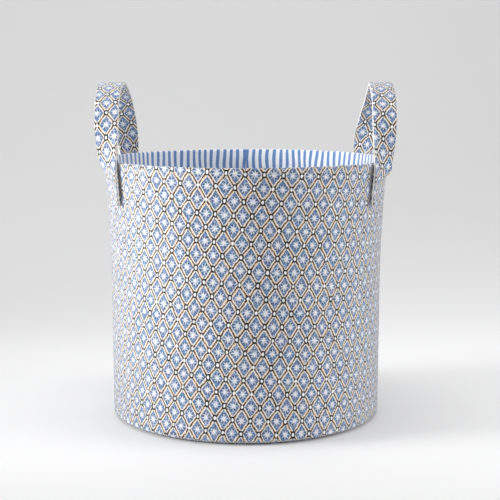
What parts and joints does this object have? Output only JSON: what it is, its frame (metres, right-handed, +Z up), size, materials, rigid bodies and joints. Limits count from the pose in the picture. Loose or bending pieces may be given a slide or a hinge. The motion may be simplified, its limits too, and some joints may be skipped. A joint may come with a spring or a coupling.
{
  "type": "fabric storage bin",
  "caption": "Round soft-sided storage bin of printed cloth with a striped lining, a stiffened wall and base, and a stand-up strap handle on each side that folds in or out.",
  "frame": {"origin": "middle of the underside, on the floor", "axes": "+Z up out of the mouth, +X to the right-hand handle, -Y to the front"},
  "size_m": [0.3906, 0.38, 0.447],
  "materials": {
    "printed_cloth": "matte",
    "striped_cloth": "matte",
    "webbing": "matte",
    "foam": "matte",
    "board": "matte",
    "thread": "matte"
  },
  "bodies": {
    "bin": {"base_board": "board", "base_lining": "striped_cloth", "left_back_bend_inner_strip": "printed_cloth", "left_back_bend_outer_strip": "printed_cloth", "left_back_bend_webbing": "webbing", "left_back_tab_inner_strip": "printed_cloth", "left_back_tab_outer_strip": "printed_cloth", "left_back_tab_stitches": "thread", "left_back_tab_webbing": "webbing", "left_front_bend_inner_strip": "printed_cloth", "left_front_bend_outer_strip": "printed_cloth", "left_front_bend_webbing": "webbing", "left_front_tab_inner_strip": "printed_cloth", "left_front_tab_outer_strip": "printed_cloth", "left_front_tab_stitches": "thread", "left_front_tab_webbing": "webbing", "lining_wall": "striped_cloth", "outer_base": "printed_cloth", "outer_wall": "printed_cloth", "right_back_bend_inner_strip": "printed_cloth", "right_back_bend_outer_strip": "printed_cloth", "right_back_bend_webbing": "webbing", "right_back_tab_inner_strip": "printed_cloth", "right_back_tab_outer_strip": "printed_cloth", "right_back_tab_stitches": "thread", "right_back_tab_webbing": "webbing", "right_front_bend_inner_strip": "printed_cloth", "right_front_bend_outer_strip": "printed_cloth", "right_front_bend_webbing": "webbing", "right_front_tab_inner_strip": "printed_cloth", "right_front_tab_outer_strip": "printed_cloth", "right_front_tab_stitches": "thread", "right_front_tab_webbing": "webbing", "rim_topstitch": "thread", "wall_foam": "foam"},
    "left_handle": {"left_handle_inner_strip": "printed_cloth", "left_handle_webbing": "webbing", "left_handle_outer_strip": "printed_cloth"},
    "right_handle": {"right_handle_inner_strip": "printed_cloth", "right_handle_webbing": "webbing", "right_handle_outer_strip": "printed_cloth"}
  },
  "joints": [
    {"name": "left_handle_fold", "type": "hinge", "parent": "bin", "child": "left_handle", "pos_m": [-0.17068, 0.00596, 0.35], "axis": [-0.0349, -0.9994, 0], "range_deg": [-95, 140], "deforming": ["left_front_bend_inner_strip", "left_front_bend_webbing", "left_front_bend_outer_strip", "left_back_bend_inner_strip", "left_back_bend_webbing", "left_back_bend_outer_strip"]},
    {"name": "right_handle_fold", "type": "hinge", "parent": "bin", "child": "right_handle", "pos_m": [0.17068, 0.00596, 0.35], "axis": [-0.0349, 0.9994, 0], "range_deg": [-95, 140], "deforming": ["right_front_bend_inner_strip", "right_front_bend_webbing", "right_front_bend_outer_strip", "right_back_bend_inner_strip", "right_back_bend_webbing", "right_back_bend_outer_strip"]}
  ]
}
